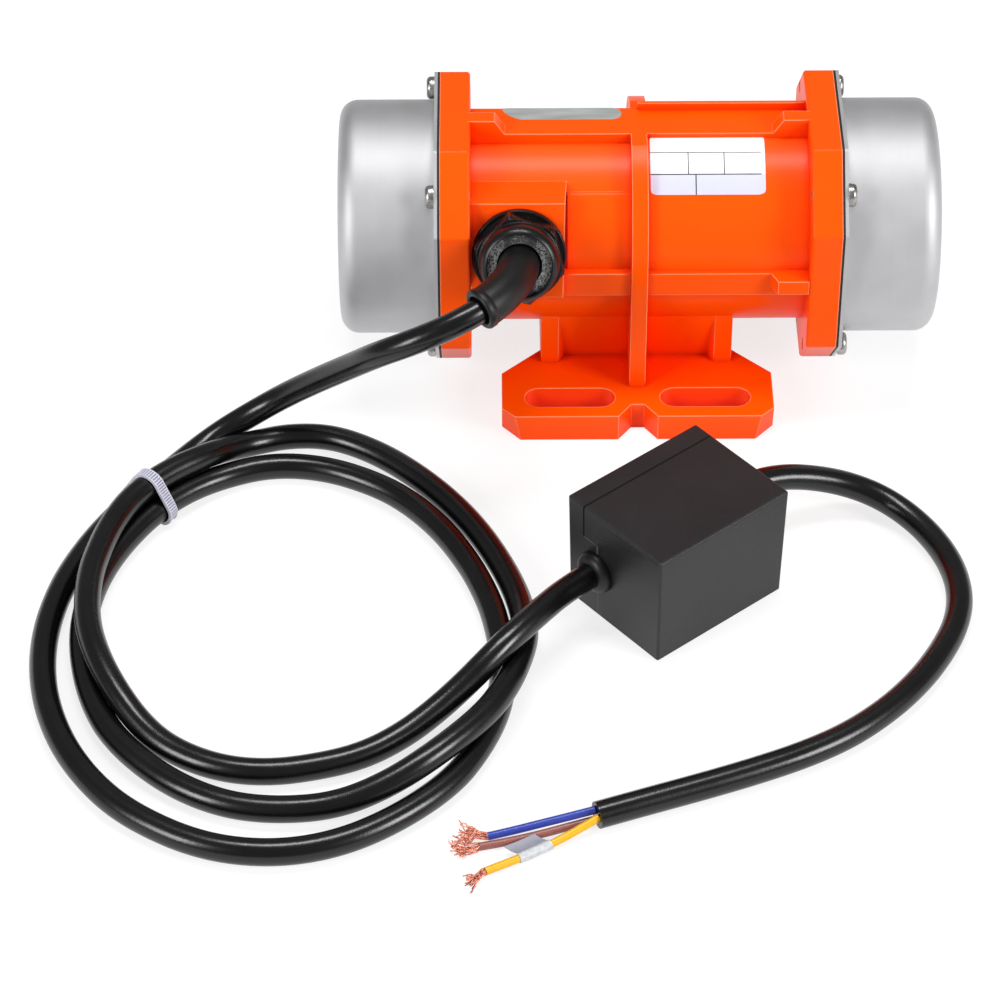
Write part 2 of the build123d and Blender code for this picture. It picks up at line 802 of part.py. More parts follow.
# Capacitor box: two moulded shells that part along a stepped seam
box_plane = Plane(
    origin=(box_x, box_y, 0),
    x_dir=(math.cos(math.radians(box_turn)), math.sin(math.radians(box_turn)), 0),
    z_dir=(0, 0, 1),
)


def box_block(inset, z0, z1):
    lean = math.tan(math.radians(box_draft))
    shrink = 2 * (inset - lean * (z0 - box_h))
    low = Rectangle(box_len - shrink, box_wid - shrink)
    return extrude(box_plane * (Pos(0, 0, z0) * low), z1 - z0, taper=-box_draft)


box_outer = box_block(0, 0, box_h)
box_outer = fillet(box_outer.edges(), box_edge)
box_shell = box_outer - box_block(box_wall, box_wall, box_h - box_wall)
hole_plane = box_plane * Plane(origin=(-box_len, hole_w, hole_z), x_dir=(0, 1, 0), z_dir=(1, 0, 0))
box_shell -= extrude(hole_plane * Circle(hole_r), 2 * box_len)
seam_plane = box_plane * Plane(origin=(-box_len, 0, 0), x_dir=(0, 1, 0), z_dir=(1, 0, 0))


def cover_side(gap):
    seam = [
        (seam_w - gap, 2 * box_h),
        (seam_w - gap, seam_z - gap),
        (hole_w - gap, seam_z - gap),
        (hole_w - gap, -box_h),
        (box_wid, -box_h),
        (box_wid, 2 * box_h),
    ]
    return extrude(seam_plane * make_face(Polyline(*seam, close=True)), 2 * box_len)


save(box_shell - cover_side(seam_gap), "box_body")
save(box_shell & cover_side(0), "box_cover")

# Capacitor potted in the box
capacitor_h = box_h - 2 * box_wall - 2 * seat_gap
capacitor = extrude(box_plane * (Pos(0, 0, box_wall + seat_gap) * Rectangle(cap_len, cap_wid)), capacitor_h)
capacitor = fillet(capacitor.edges().filter_by(Axis.Z), cap_round)
save(capacitor, "capacitor")

# Grommets: a domed flange outside, a groove on the wall and a collar inside
grommet = extrude(Circle(grommet_r), -grommet_t)
grommet = fillet(grommet.edges().filter_by(GeomType.CIRCLE).sort_by(Axis.Z)[0], grommet_round)
grommet += extrude(Circle(hole_r - seat_gap), box_wall + grommet_lip)
grommet -= extrude(Pos(0, 0, -grommet_t) * Circle(cable_r + seat_gap), 2 * grommet_t + box_wall)
face_u = box_len / 2 - math.tan(math.radians(box_draft)) * (box_h - hole_z)
for name, side in (("grommet_in", -1), ("grommet_out", 1)):
    inward = (-side, 0, math.tan(math.radians(box_draft)))
    seat = box_plane * Plane(origin=(side * face_u, hole_w, hole_z), x_dir=(0, 1, 0), z_dir=inward)
    save(seat * grommet, name)

# Bared cores at the end of the tail, each with a flared bundle of copper strands
bundles = []
cores = (("core_blue", blue_points), ("core_brown", brown_points), ("core_yellow", yellow_points))
for name, points in cores:
    core_path = tube(points, core_r, name)
    along = Vector(core_path % 1)
    along = Vector(along.X, along.Y, math.tan(math.radians(strand_lift)))
    bundle_plane = Plane(origin=core_path @ 1, z_dir=along).offset(2 * seat_gap)
    bundle = Pos(0, 0, strand_len / 2) * Cone(*strand_r, strand_len)
    bundles.append(bundle_plane * bundle)
save(Compound(bundles), "core_strands")

# Blank tag wrapped round the yellow core, with its flag lying flat
tag_way = Vector(*tag_end) - Vector(*tag_start)
tag_plane = Plane(origin=tag_start, x_dir=(tag_way.Y, -tag_way.X, 0), z_dir=tag_way)
tag = Circle(core_r + tag_gap + tag_wall) + Pos(tag_flag_w / 2, 0) * Rectangle(tag_flag_w, 2 * tag_wall)
tag -= Circle(core_r + tag_gap)
save(extrude(tag_plane * tag, tag_way.length), "core_tag")
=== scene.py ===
import math

import bpy
from mathutils import Matrix, Vector


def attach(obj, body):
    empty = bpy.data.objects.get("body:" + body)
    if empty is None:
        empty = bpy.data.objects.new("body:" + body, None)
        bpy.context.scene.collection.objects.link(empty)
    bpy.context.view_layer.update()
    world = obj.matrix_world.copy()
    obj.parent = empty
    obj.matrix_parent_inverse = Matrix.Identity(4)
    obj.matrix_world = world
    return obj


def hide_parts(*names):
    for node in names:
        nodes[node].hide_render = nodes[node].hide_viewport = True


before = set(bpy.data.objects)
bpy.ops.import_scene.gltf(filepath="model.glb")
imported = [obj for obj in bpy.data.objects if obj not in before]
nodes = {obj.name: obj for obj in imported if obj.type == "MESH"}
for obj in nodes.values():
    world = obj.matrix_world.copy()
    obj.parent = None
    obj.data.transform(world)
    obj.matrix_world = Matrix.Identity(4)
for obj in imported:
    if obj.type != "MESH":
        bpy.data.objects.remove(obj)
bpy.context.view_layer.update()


# Studio: a pale floor between two soft lamps in front and a long one overhead. The camera
# looks down from the front, as for a catalogue picture.
class Signal:
    """One output of a material's nodes. Sums written with it add the maths nodes."""

    def __init__(self, tree, socket=None):
        self.tree = tree
        self.socket = socket

    def node(self, kind, settings, inputs, output=0):
        made = self.tree.nodes.new(kind)
        for setting, value in settings.items():
            setattr(made, setting, value)
        for name, value in inputs.items():
            if isinstance(value, Signal):
                self.tree.links.new(value.socket, made.inputs[name])
            else:
                made.inputs[name].default_value = value
        return Signal(self.tree, made.outputs[output] if len(made.outputs) else None)

    def maths(self, operation, first, second=0.0):
        return self.node("ShaderNodeMath", {"operation": operation}, {0: first, 1: second})

    def __add__(self, other):
        return self.maths("ADD", self, other)

    def __radd__(self, other):
        return self.maths("ADD", other, self)

    def __sub__(self, other):
        return self.maths("SUBTRACT", self, other)

    def __rsub__(self, other):
        return self.maths("SUBTRACT", other, self)

    def __mul__(self, other):
        return self.maths("MULTIPLY", self, other)

    def __rmul__(self, other):
        return self.maths("MULTIPLY", other, self)

    def __pow__(self, other):
        return self.maths("POWER", self, other)

    def __gt__(self, other):
        return self.maths("GREATER_THAN", self, other)

    def __lt__(self, other):
        return self.maths("LESS_THAN", self, other)


def new_finish(name):
    material = bpy.data.materials.new(name)
    material.use_nodes = True
    material.node_tree.nodes.clear()
    return material, Signal(material.node_tree)


def shade(red, green, blue):
    """A colour as it looks on screen, from 0 to 255, turned into light."""
    levels = (red, green, blue)
    return (*(((c / 255 + 0.055) / 1.055) ** 2.4 if c > 10 else c / 3294.6 for c in levels), 1.0)


floor_mesh = bpy.data.meshes.new("floor")
floor_mesh.from_pydata([(-3, -3, 0), (3, -3, 0), (3, 3, 0), (-3, 3, 0)], [], [(0, 1, 2, 3)])
floor = bpy.data.objects.new("floor", floor_mesh)
bpy.context.scene.collection.objects.link(floor)
floor_finish, start = new_finish("studio_floor")
lit = start.node("ShaderNodeBsdfDiffuse", {}, {"Color": (0.26, 0.26, 0.26, 1)})
glow = start.node("ShaderNodeEmission", {}, {"Color": (1, 1, 1, 1), "Strength": 0.78})
white = start.node("ShaderNodeAddShader", {}, {0: lit, 1: glow})
plain = start.node("ShaderNodeBsdfDiffuse", {}, {"Color": (0.8, 0.8, 0.8, 1)})
ray = start.node("ShaderNodeLightPath", {}, {}, "Is Camera Ray")
mirrored = start.node("ShaderNodeLightPath", {}, {}, "Is Glossy Ray")
seen = start.maths("MAXIMUM", ray, mirrored)
mixed = start.node("ShaderNodeMixShader", {}, {0: seen, 1: plain, 2: white})
start.node("ShaderNodeOutputMaterial", {}, {"Surface": mixed})
floor_mesh.materials.append(floor_finish)

world = bpy.data.worlds.new("studio")
bpy.context.scene.world = world
world.use_nodes = True
world.node_tree.nodes.clear()
sky = Signal(world.node_tree)
soft, shiny, blank = (
    sky.node("ShaderNodeBackground", {}, {"Color": (1, 1, 1, 1), "Strength": strength})
    for strength in (0.3, 0.23, 1.0)
)
straight = sky.node("ShaderNodeLightPath", {}, {}, "Is Camera Ray")
bounced = sky.node("ShaderNodeLightPath", {}, {}, "Is Glossy Ray")
around = sky.node("ShaderNodeMixShader", {}, {0: bounced, 1: soft, 2: shiny})
mixed = sky.node("ShaderNodeMixShader", {}, {0: straight, 1: around, 2: blank})
sky.node("ShaderNodeOutputWorld", {}, {"Surface": mixed})


def softbox(name, spot, aim, width, height, watts):
    lamp = bpy.data.lights.new(name, "AREA")
    lamp.shape = "RECTANGLE"
    lamp.size = width
    lamp.size_y = height
    lamp.energy = watts
    holder = bpy.data.objects.new(name, lamp)
    bpy.context.scene.collection.objects.link(holder)
    holder.location = spot
    holder.rotation_euler = (Vector(aim) - Vector(spot)).to_track_quat("-Z", "Y").to_euler()


motor_middle = (0.0, -0.02, 0.05)
softbox("lamp_left", (-1.2, -0.95, 0.75), motor_middle, 0.5, 0.62, 13.5)
softbox("lamp_right", (1.25, -0.85, 0.75), motor_middle, 0.5, 0.62, 17)
softbox("lamp_over", (0.0, 0.12, 1.4), motor_middle, 0.7, 0.28, 10)

eye = bpy.data.cameras.new("camera")
eye.sensor_width = 36
eye.lens = 140.49
eye.clip_start = 0.05
eye.clip_end = 20
camera = bpy.data.objects.new("camera", eye)
bpy.context.scene.collection.objects.link(camera)
bpy.context.scene.camera = camera
pitch = math.radians(40.93)
yaw = math.radians(0.17)
roll = math.radians(-0.15)
ahead = Vector((math.sin(yaw) * math.cos(pitch), math.cos(yaw) * math.cos(pitch), -math.sin(pitch)))
level = Vector((math.cos(yaw), -math.sin(yaw), 0))
above = level.cross(ahead)
right = level * math.cos(roll) + above * math.sin(roll)
upward = above * math.cos(roll) - level * math.sin(roll)
turn = Matrix((right, upward, -ahead)).transposed()
camera_place = (-0.0446, -0.9573, 0.7623)
camera.matrix_world = Matrix.Translation(camera_place) @ turn.to_4x4()
bpy.context.scene.view_settings.view_transform = "Standard"


# Housing: die-cast aluminium under a thick coat of glossy orange enamel, which shows the
# casting's faint waves. Painted highlights lie on its edges and painted shade lies in its corners.
def spot_on(start, stretch=(1, 1, 1)):
    place = start.node("ShaderNodeTexCoord", {}, {}, "Object")
    return start.node("ShaderNodeMapping", {}, {"Vector": place, "Scale": stretch})


def axis(place, letter):
    return place.node("ShaderNodeSeparateXYZ", {}, {0: place}, letter)


def near_line(value, line, reach):
    """1 where a value is within reach of a line, and 0 elsewhere."""
    return value.maths("ABSOLUTE", value - line) < reach


def within(value):
    """The value, held between 0 and 1."""
    return value.maths("MINIMUM", value.maths("MAXIMUM", value, 0.0), 1.0)


def cloud(spot, size, detail=3.0, rough=0.5):
    inputs = {"Vector": spot, "Scale": 1 / size, "Detail": detail, "Roughness": rough}
    return spot.node("ShaderNodeTexNoise", {}, inputs)


def blend(share, low, high):
    return share.node("ShaderNodeMix", {"data_type": "RGBA"}, {0: share, 6: low, 7: high}, 2)


def relief(height, depth, base=None):
    inputs = {"Height": height, "Distance": depth, "Strength": 1.0}
    if base is not None:
        inputs["Normal"] = base
    return height.node("ShaderNodeBump", {}, inputs)


def surface(start, inputs):
    shader = start.node("ShaderNodeBsdfPrincipled", {}, inputs)
    start.node("ShaderNodeOutputMaterial", {}, {"Surface": shader})


def rounding(start, radius, samples=6):
    return start.node("ShaderNodeBevel", {"samples": samples}, {"Radius": radius})


def dot(first, second):
    return first.node("ShaderNodeVectorMath", {"operation": "DOT_PRODUCT"}, {0: first, 1: second}, "Value")


def edges(rounded, least):
    """1 on the edges, where the rounded normal leaves the true one, and 0 on flat faces."""
    facing = rounded.node("ShaderNodeNewGeometry", {}, {}, "Normal")
    return within((least - dot(rounded, facing)) * 10.0)


def dress(finish, *names):
    for name in names:
        for place in nodes[name].material_slots:
            place.material = finish


enamel, start = new_finish("orange_enamel")
spot = spot_on(start)
waves = cloud(spot, 0.006, 2)
peel = cloud(spot, 0.0011, 2)
patch = cloud(spot, 0.03, 3)
near = start.node("ShaderNodeAmbientOcclusion", {"samples": 8, "only_local": True}, {"Distance": 0.004}, "AO")
wide = start.node("ShaderNodeAmbientOcclusion", {"samples": 8}, {"Distance": 0.022}, "AO")
tone = blend(patch, shade(255, 79, 0), shade(255, 87, 0))
# Painted shade: a deeper red where the wide ambient occlusion finds recesses, nearby parts, the cables and
# the floor.
tone = blend(within(wide * 1.3), shade(248, 40, 0), tone)
# Painted shade: a darker red still in tight corners and creases, from the near ambient occlusion.
tone = blend(within(near * 1.3), shade(200, 26, 0), tone)
rounded = rounding(start, 0.0006)
# Painted highlight: a pale pink line along the convex edges, where the rounded normal leaves the true one.
tone = blend(edges(rounded, 0.98) * (near > 0.8) * 0.7, tone, shade(255, 190, 150))
surface(start, {
    "Base Color": tone,
    "Roughness": 0.34 + 0.1 * patch,
    "Specular IOR Level": 0.06,
    "Coat Weight": 0.2,
    "Coat Roughness": 0.26,
    "Normal": relief(peel * 0.3 + waves, 0.00005, rounded),
})
dress(enamel, "housing")


def settle(name, shape):
    """Put a mesh or curve in the scene as a piece that rides on the motor."""
    made = bpy.data.objects.new(name, shape)
    bpy.context.scene.collection.objects.link(made)
    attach(made, "motor")
    return made


def plain_piece(name, corners, faces, finish, sharp=35):
    """A closed mesh from its corners in metres, smooth but for its sharp edges."""
    mesh = bpy.data.meshes.new(name)
    mesh.from_pydata([tuple(c) for c in corners], [], faces)
    mesh.update()
    mesh.shade_smooth()
    mesh.set_sharp_from_angle(angle=math.radians(sharp))
    mesh.materials.append(finish)
    return settle(name, mesh)


# Name plate and top strip: a white printed film on the front of the barrel, left blank
# but for its ruled lines, and a silver film along the crown. Both are glued down.
axis_height = 0.04705
plate_left, plate_right = 0.0032, 0.0374
plate_low, plate_high = math.radians(47.1), math.radians(81.7)
plate_inner, plate_outer = 0.03321, 0.03333
plate_corner = 0.0016
upper_rule, lower_rule = 0.07849, 0.07531
left_rule, middle_rule, low_rule, rules_end = 0.0145, 0.0252, 0.0167, 0.0362
upper_half, lower_half, upright_half, low_half = 0.00005, 0.0001, 0.00016, 0.00018


def film(name, across_steps, along_steps, half_across, half_along, corner, place, finish):
    """A thin sheet with round corners: place(a, b, side) puts each of its points."""
    corners = []
    for side in (0, 1):
        for j in range(along_steps + 1):
            b = -half_along + 2 * half_along * j / along_steps
            for i in range(across_steps + 1):
                a = -half_across + 2 * half_across * i / across_steps
                over_a = max(0.0, abs(a) - half_across + corner)
                over_b = max(0.0, abs(b) - half_along + corner)
                reach = max(over_a, over_b)
                pull = reach / math.hypot(over_a, over_b) if min(over_a, over_b) > 0 else 1.0
                a_in = math.copysign(abs(a) - over_a * (1 - pull), a)
                b_in = math.copysign(abs(b) - over_b * (1 - pull), b)
                corners.append(place(a_in, b_in, side))
    row = across_steps + 1
    sheet = row * (along_steps + 1)
    faces = []
    for j in range(along_steps):
        for i in range(across_steps):
            k = j * row + i
            faces.append((k, k + row, k + row + 1, k + 1))
            faces.append((sheet + k, sheet + k + 1, sheet + k + row + 1, sheet + k + row))
    rim = list(range(row)) + [j * row + across_steps for j in range(1, along_steps + 1)]
    rim += [along_steps * row + i for i in range(across_steps - 1, -1, -1)]
    rim += [j * row for j in range(along_steps - 1, 0, -1)]
    for k, following in zip(rim, rim[1:] + rim[:1]):
        faces.append((k, following, sheet + following, sheet + k))
    return plain_piece(name, corners, faces, finish)


printed, start = new_finish("printed_film")
place = start.node("ShaderNodeTexCoord", {}, {}, "Object")
along, height = axis(place, "X"), axis(place, "Z")
tint = height < lower_rule
under = height < upper_rule
upright = near_line(along, left_rule, upright_half) + near_line(along, middle_rule, upright_half)
ruled = upright * (under - tint) + near_line(along, low_rule, low_half) * tint
ruled = ruled + near_line(height, upper_rule, upper_half) + near_line(height, lower_rule, lower_half)
ruled = ruled * (along < rules_end)
weave = cloud(place, 0.0008, 3)
paper = blend(tint, shade(238, 239, 242), shade(200, 202, 226))
paper = blend(weave * 0.35, paper, shade(222, 223, 228))
surface(start, {
    "Base Color": blend(within(ruled), paper, shade(46, 46, 52)),
    "Roughness": 0.34 + 0.12 * weave,
    "Normal": relief(weave, 0.000008),
})
plate_middle = (plate_left + plate_right) / 2
plate_turn = (plate_low + plate_high) / 2


def on_barrel(a, b, side):
    reach = plate_outer if side else plate_inner
    turn = plate_turn + b / plate_outer
    return (plate_middle + a, -reach * math.cos(turn), axis_height + reach * math.sin(turn))


film(
    "name_plate", 20, 20, (plate_right - plate_left) / 2, plate_outer * (plate_high - plate_low) / 2,
    plate_corner, on_barrel, printed,
)


def grained(name, size, detail, dark, light, rough, spread, depth, stretch=(1, 1, 1), bevel=None, **fixed):
    """A finish whose colour, roughness and relief all follow one cloud of a given size."""
    finish, start = new_finish(name)
    grain = cloud(spot_on(start, stretch), size, detail)
    rounded = rounding(start, bevel, 4) if bevel else None
    surface(start, {
        "Base Color": blend(grain, shade(*dark), shade(*light)),
        "Roughness": rough + spread * grain,
        "Normal": relief(grain, depth, rounded),
        **{label.replace("_", " "): value for label, value in fixed.items()},
    })
    return finish


silver = grained(
    "silver_film", 0.012, 2, (172, 180, 176), (226, 230, 228), 0.3, 0.15, 0.00001,
    stretch=(1, 6, 6), Metallic=0.6,
)
strip_x, strip_y, strip_top, strip_thick = -0.0236, 0.0049, 0.08146, 0.0001
strip_half_long, strip_half_wide, strip_corner = 0.0186, 0.0029, 0.0027
strip_slant, strip_skew = 0.14, 48


def on_crown(a, b, side):
    """The strip's left end is cut at a slant, so its points there are drawn in."""
    slant = max(0.0, -a) * (strip_slant - strip_skew * b)
    return (strip_x + a + slant, strip_y + b, strip_top + strip_thick * side)


film("top_strip", 16, 8, strip_half_long, strip_half_wide, strip_corner, on_crown, silver)

# End shields, bearings, stator and rotor: the parts inside the barrel. They are plain
# machined castings, stacked electrical steel, varnished wire and ground steel.
bare_cast = grained(
    "bare_casting", 0.0008, 4, (150, 152, 154), (184, 186, 188), 0.45, 0.2, 0.00004, Metallic=0.9,
)
dress(bare_cast, "end_shield_left", "end_shield_right", "rotor_cage")

laminated, start = new_finish("laminated_steel")
sheets = start.node("ShaderNodeTexWave", {"bands_direction": "X"}, {"Vector": spot_on(start), "Scale": 320.0})
rust = cloud(spot_on(start), 0.004, 4)
surface(start, {
    "Base Color": blend(rust, shade(96, 98, 104), shade(128, 126, 124)),
    "Metallic": 0.8,
    "Roughness": 0.4 + 0.2 * rust,
    "Normal": relief(sheets, 0.00008),
})
dress(laminated, "stator_core", "rotor_core")

wound = grained(
    "varnished_wire", 0.03, 3, (120, 58, 24), (196, 112, 58), 0.3, 0.2, 0.0003,
    stretch=(60, 1, 1), Metallic=0.7, Coat_Weight=0.4,
)
dress(wound, "stator_windings")

ground = grained(
    "ground_steel", 0.02, 3, (176, 178, 182), (206, 208, 210), 0.2, 0.15, 0.00002,
    stretch=(40, 1, 1), Metallic=1.0,
)
plated = grained(
    "plated_weight", 0.002, 5, (150, 146, 132), (190, 184, 160), 0.35, 0.25, 0.00004, Metallic=0.9,
)
blacked = grained("blacked_steel", 0.001, 4, (30, 30, 32), (58, 58, 62), 0.35, 0.2, 0.00002, Metallic=0.6)
dress(ground, "shaft")
for end in ("left", "right"):
    dress(ground, f"bearing_outer_{end}", f"bearing_inner_{end}", f"bearing_balls_{end}", f"weight_key_{end}")
    dress(plated, f"fixed_weight_{end}", f"adjustable_weight_{end}")
    dress(blacked, f"clamp_bolt_{end}", f"circlip_{end}")

# Covers: drawn stainless steel, satin from the lathe, with rings round the axis on the
# wall and the end. A thin black gasket lies under each, and four screws hold each plate.
stainless, start = new_finish("spun_stainless")
place = start.node("ShaderNodeTexCoord", {}, {}, "Object")
along, side, height = axis(place, "X"), axis(place, "Y"), axis(place, "Z") - axis_height
radius = (side * side + height * height) ** 0.5
rings = start.node("ShaderNodeCombineXYZ", {}, {"X": along, "Y": radius, "Z": 0.0})
fine = cloud(rings, 0.0004, 4, 0.7)
broad = cloud(rings, 0.004, 3)
smear = cloud(place, 0.012, 4)
surface(start, {
    "Base Color": blend(0.3 * fine + 0.7 * smear, shade(188, 188, 190), shade(214, 214, 216)),
    "Metallic": 1.0,
    "Roughness": 0.54 + 0.05 * fine + 0.08 * smear,
    "Normal": relief(fine * 0.25 + broad, 0.00002),
})
dress(stainless, "cover_left", "cover_right")

packing = grained("gasket_sheet", 0.0007, 4, (18, 18, 18), (40, 38, 36), 0.7, 0.2, 0.00006)
dress(packing, "gasket_left", "gasket_right")
zinc = grained(
    "bright_screw", 0.0012, 4, (128, 126, 123), (206, 204, 200), 0.18, 0.3, 0.00004,
    bevel=0.00025, Metallic=1.0,
)
dress(zinc, "cover_screws_left", "cover_screws_right")

# Cable gland: black moulded nylon with a fine spark-eroded skin and a ribbed hexagon to
# grip, screwed into the pad. Its domed nut squeezes a rubber seal dusted with pale bloom.
nylon, start = new_finish("black_nylon")
skin = cloud(spot_on(start), 0.0004, 3)
dust = cloud(spot_on(start), 0.004, 4)
surface(start, {
    "Base Color": blend(dust, shade(6, 6, 7), shade(15, 15, 16)),
    "Roughness": 0.22 + 0.2 * dust,
    "Specular IOR Level": 0.4,
    "Normal": relief(skin, 0.00002, rounding(start, 0.0005)),
})
dress(nylon, "gland_nut")

gland_seat = Vector((-0.036, -0.03478, 0.05883))
seal_rubber, start = new_finish("dusty_rubber")
place = start.node("ShaderNodeTexCoord", {}, {}, "Object")
speck = cloud(place, 0.0005, 5, 0.8)
aside = start.maths("ABSOLUTE", axis(place, "X") - gland_seat.x)
pale = start.maths("MINIMUM", (speck - 0.47) * 16.0 * ((aside - 0.0035) * 260.0), 1.0)
pale = start.maths("MAXIMUM", pale, (speck - 0.5) * 1.5)
surface(start, {
    "Base Color": blend(start.maths("MAXIMUM", pale, 0.0), shade(20, 20, 20), shade(176, 176, 176)),
    "Roughness": 0.7,
    "Normal": relief(speck, 0.0003),
})
dress(seal_rubber, "gland_seal")

gland_lean = math.radians(22.1)
gland_frame = Matrix.Translation(gland_seat) @ Matrix((
    (1, 0, 0, 0),
    (0, math.sin(gland_lean), -math.cos(gland_lean), 0),
    (0, math.cos(gland_lean), math.sin(gland_lean), 0),
    (0, 0, 0, 1),
))
hex_flats = 0.012
hex_low, hex_high = 0.002, 0.008
hex_turn = math.radians(43)
flange_radius, flange_edge, flange_lip = 0.014, 0.0002, 0.0001
grip_foot, grip_bevel = 0.00012, 0.0008
thread_radius, thread_deep = 0.008, 0.0084
bore_radius = 0.00625
nut_seat_radius = 0.0129
rib_pitch, rib_radius, rib_top_gap = 0.00089, 0.0003, 0.0009


def new_tree(name, sizes):
    """A Geometry Nodes tree with named inputs, and those inputs to build on."""
    tree = bpy.data.node_groups.new(name, "GeometryNodeTree")
    for label, kind in {"Geometry": "NodeSocketGeometry", **sizes}.items():
        tree.interface.new_socket(label, in_out="INPUT", socket_type=kind)
    tree.interface.new_socket("Geometry", in_out="OUTPUT", socket_type="NodeSocketGeometry")
    inlet = tree.nodes.new("NodeGroupInput")
    return {label: Signal(tree, inlet.outputs[label]) for label in ("Geometry", *sizes)}


def end_tree(shape, finish):
    """Make the instances real, set their finish and send them out of the tree."""
    real = shape.node("GeometryNodeRealizeInstances", {}, {"Geometry": shape})
    done = real.node("GeometryNodeSetMaterial", {}, {"Geometry": real, "Material": finish})
    outlet = done.tree.nodes.new("NodeGroupOutput")
    done.tree.links.new(done.socket, outlet.inputs[0])
    return done.tree


def grow(name, tree, sizes, base=None, place=None):
    """Run a tree once and keep what it makes as a plain mesh that rides on the motor."""
    seed = bpy.data.objects.new(f"{name}_seed", base or bpy.data.meshes.new(f"{name}_seed"))
    bpy.context.scene.collection.objects.link(seed)
    modifier = seed.modifiers.new("grow", "NODES")
    modifier.node_group = tree
    for socket in tree.interface.items_tree:
        if socket.in_out == "INPUT" and socket.name in sizes:
            modifier[socket.identifier] = sizes[socket.name]
    bpy.context.view_layer.update()
    grown = bpy.data.meshes.new_from_object(seed.evaluated_get(bpy.context.evaluated_depsgraph_get()))
    bpy.data.objects.remove(seed)
    if place is not None:
        grown.transform(place)
    for face in grown.polygons:
        face.use_smooth = True
    return settle(name, grown)


NUMBER, FINISH, WHOLE = "NodeSocketFloat", "NodeSocketMaterial", "NodeSocketInt"


def ring_line(sides, radius):
    return radius.node("GeometryNodeCurvePrimitiveCircle", {}, {"Resolution": sides, "Radius": radius})


def solid_bar(path, sides, radius):
    """A closed bar with a few sides along a path."""
    inputs = {"Curve": path, "Profile Curve": ring_line(sides, radius), "Fill Caps": True}
    return path.node("GeometryNodeCurveToMesh", {}, inputs)


def bars_along(track, pitch, first, last, radius, finish):
    """Round bars, each from one offset to another, set along a curve at a pitch."""
    spots = track.node("GeometryNodeResampleCurve", {"mode": "LENGTH"}, {"Curve": track, "Length": pitch})
    bar = track.node("GeometryNodeCurvePrimitiveLine", {}, {"Start": first, "End": last})
    bars = {"Points": spots, "Instance": solid_bar(bar, 6, radius)}
    return end_tree(track.node("GeometryNodeInstanceOnPoints", {}, bars), finish)


ask = new_tree("grip_ribs", {
    "Corner": NUMBER, "Pitch": NUMBER, "Height": NUMBER, "Thickness": NUMBER, "Finish": FINISH,
})
outline = ring_line(6, ask["Corner"])
top = outline.node("ShaderNodeCombineXYZ", {}, {"Z": ask["Height"]})
rib_tree = bars_along(outline, ask["Pitch"], (0, 0, 0), top, ask["Thickness"], ask["Finish"])
hex_frame = gland_frame @ Matrix.Rotation(hex_turn, 4, "Z")
grow(
    "gland_ribs", rib_tree,
    {
        "Corner": hex_flats / math.cos(math.pi / 6), "Pitch": rib_pitch,
        "Height": hex_high - hex_low - rib_top_gap, "Thickness": rib_radius, "Finish": nylon,
    },
    place=hex_frame @ Matrix.Translation((0, 0, hex_low)),
)


def ring_faces(rings, sides):
    """Faces between rings of corners, with the last ring joined to the first."""
    faces = []
    for j in range(rings):
        row, following = j * sides, (j + 1) % rings * sides
        for i in range(sides):
            k = (i + 1) % sides
            faces.append((row + i, row + k, following + k, following + i))
    return faces


def turned(faces):
    """The same faces, turned to their other side."""
    return [(face[0], *face[:0:-1]) for face in faces]


def spun(name, profile, steps, place, finish, flats=None):
    """A closed ring turned from (radius, height) points. A third item cuts one to a hexagon."""
    corners = []
    for i in range(steps):
        turn = 2 * math.pi * i / steps
        for reach, height, *hexed in profile:
            if hexed:
                reach = min(reach, flats / math.cos(turn % (math.pi / 3) - math.pi / 6))
            corners.append(place @ Vector((reach * math.cos(turn), reach * math.sin(turn), height)))
    return plain_piece(name, corners, turned(ring_faces(steps, len(profile))), finish)


grip = spun(
    "gland_grip", [
        (bore_radius, -thread_deep), (thread_radius, -thread_deep),
        (thread_radius, 0.0), (flange_radius - flange_edge, 0.0), (flange_radius, flange_edge),
        (flange_radius, hex_low - flange_edge), (flange_radius - flange_lip, hex_low),
        (flange_radius - grip_foot, hex_low, True), (flange_radius, hex_high - grip_bevel, True),
        (nut_seat_radius, hex_high, True), (bore_radius, hex_high),
    ],
    120, hex_frame, nylon, flats=hex_flats,
)
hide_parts("gland_body")
lip_sections = {
    "gland_nut_lip": [
        (0.0114, 0.0080), (0.01205, 0.0080), (0.0122, 0.0083), (0.01205, 0.0086), (0.0114, 0.0088),
    ],
    "gland_flange_lip": [
        (0.0132, 0.0019), (0.0137, 0.0019), (0.0139, 0.0021), (0.0137, 0.0023), (0.0132, 0.0023),
    ],
}
for name, section in lip_sections.items():
    spun(name, section, 96, gland_frame, nylon)

# Power lead: one round black sheathed cable from the gland, through three loose turns
# on the floor, over its own turns and into the capacitor box.
sheath, start = new_finish("black_sheath")
soft_wave = cloud(spot_on(start), 0.014, 2)
skin = cloud(spot_on(start), 0.0009, 3)
surface(start, {
    "Base Color": blend(soft_wave, shade(5, 5, 6), shade(10, 10, 11)),
    "Roughness": 0.17 + 0.12 * soft_wave + 0.05 * skin,
    "Normal": relief(skin * 0.2 + soft_wave, 0.00009),
})
cable_radius = 0.00385
coil_centre = (-105.0, -141.0)
gland_run = [
    (-36.0, -36.6, 59.6), (-35.7, -44.1, 63.2), (-37.1, -53.4, 64.9), (-41.3, -62.1, 65.1),
    (-48.4, -69.3, 64.0), (-57.6, -73.7, 61.5), (-67.6, -74.6, 57.1), (-77.4, -71.4, 50.4),
    (-87.0, -61.8, 37.8), (-97.2, -54.4, 26.6), (-107.2, -49.5, 16.8), (-116.3, -49.6, 10.5),
    (-125.4, -52.9, 6.2), (-133.8, -59.9, 3.9),
]
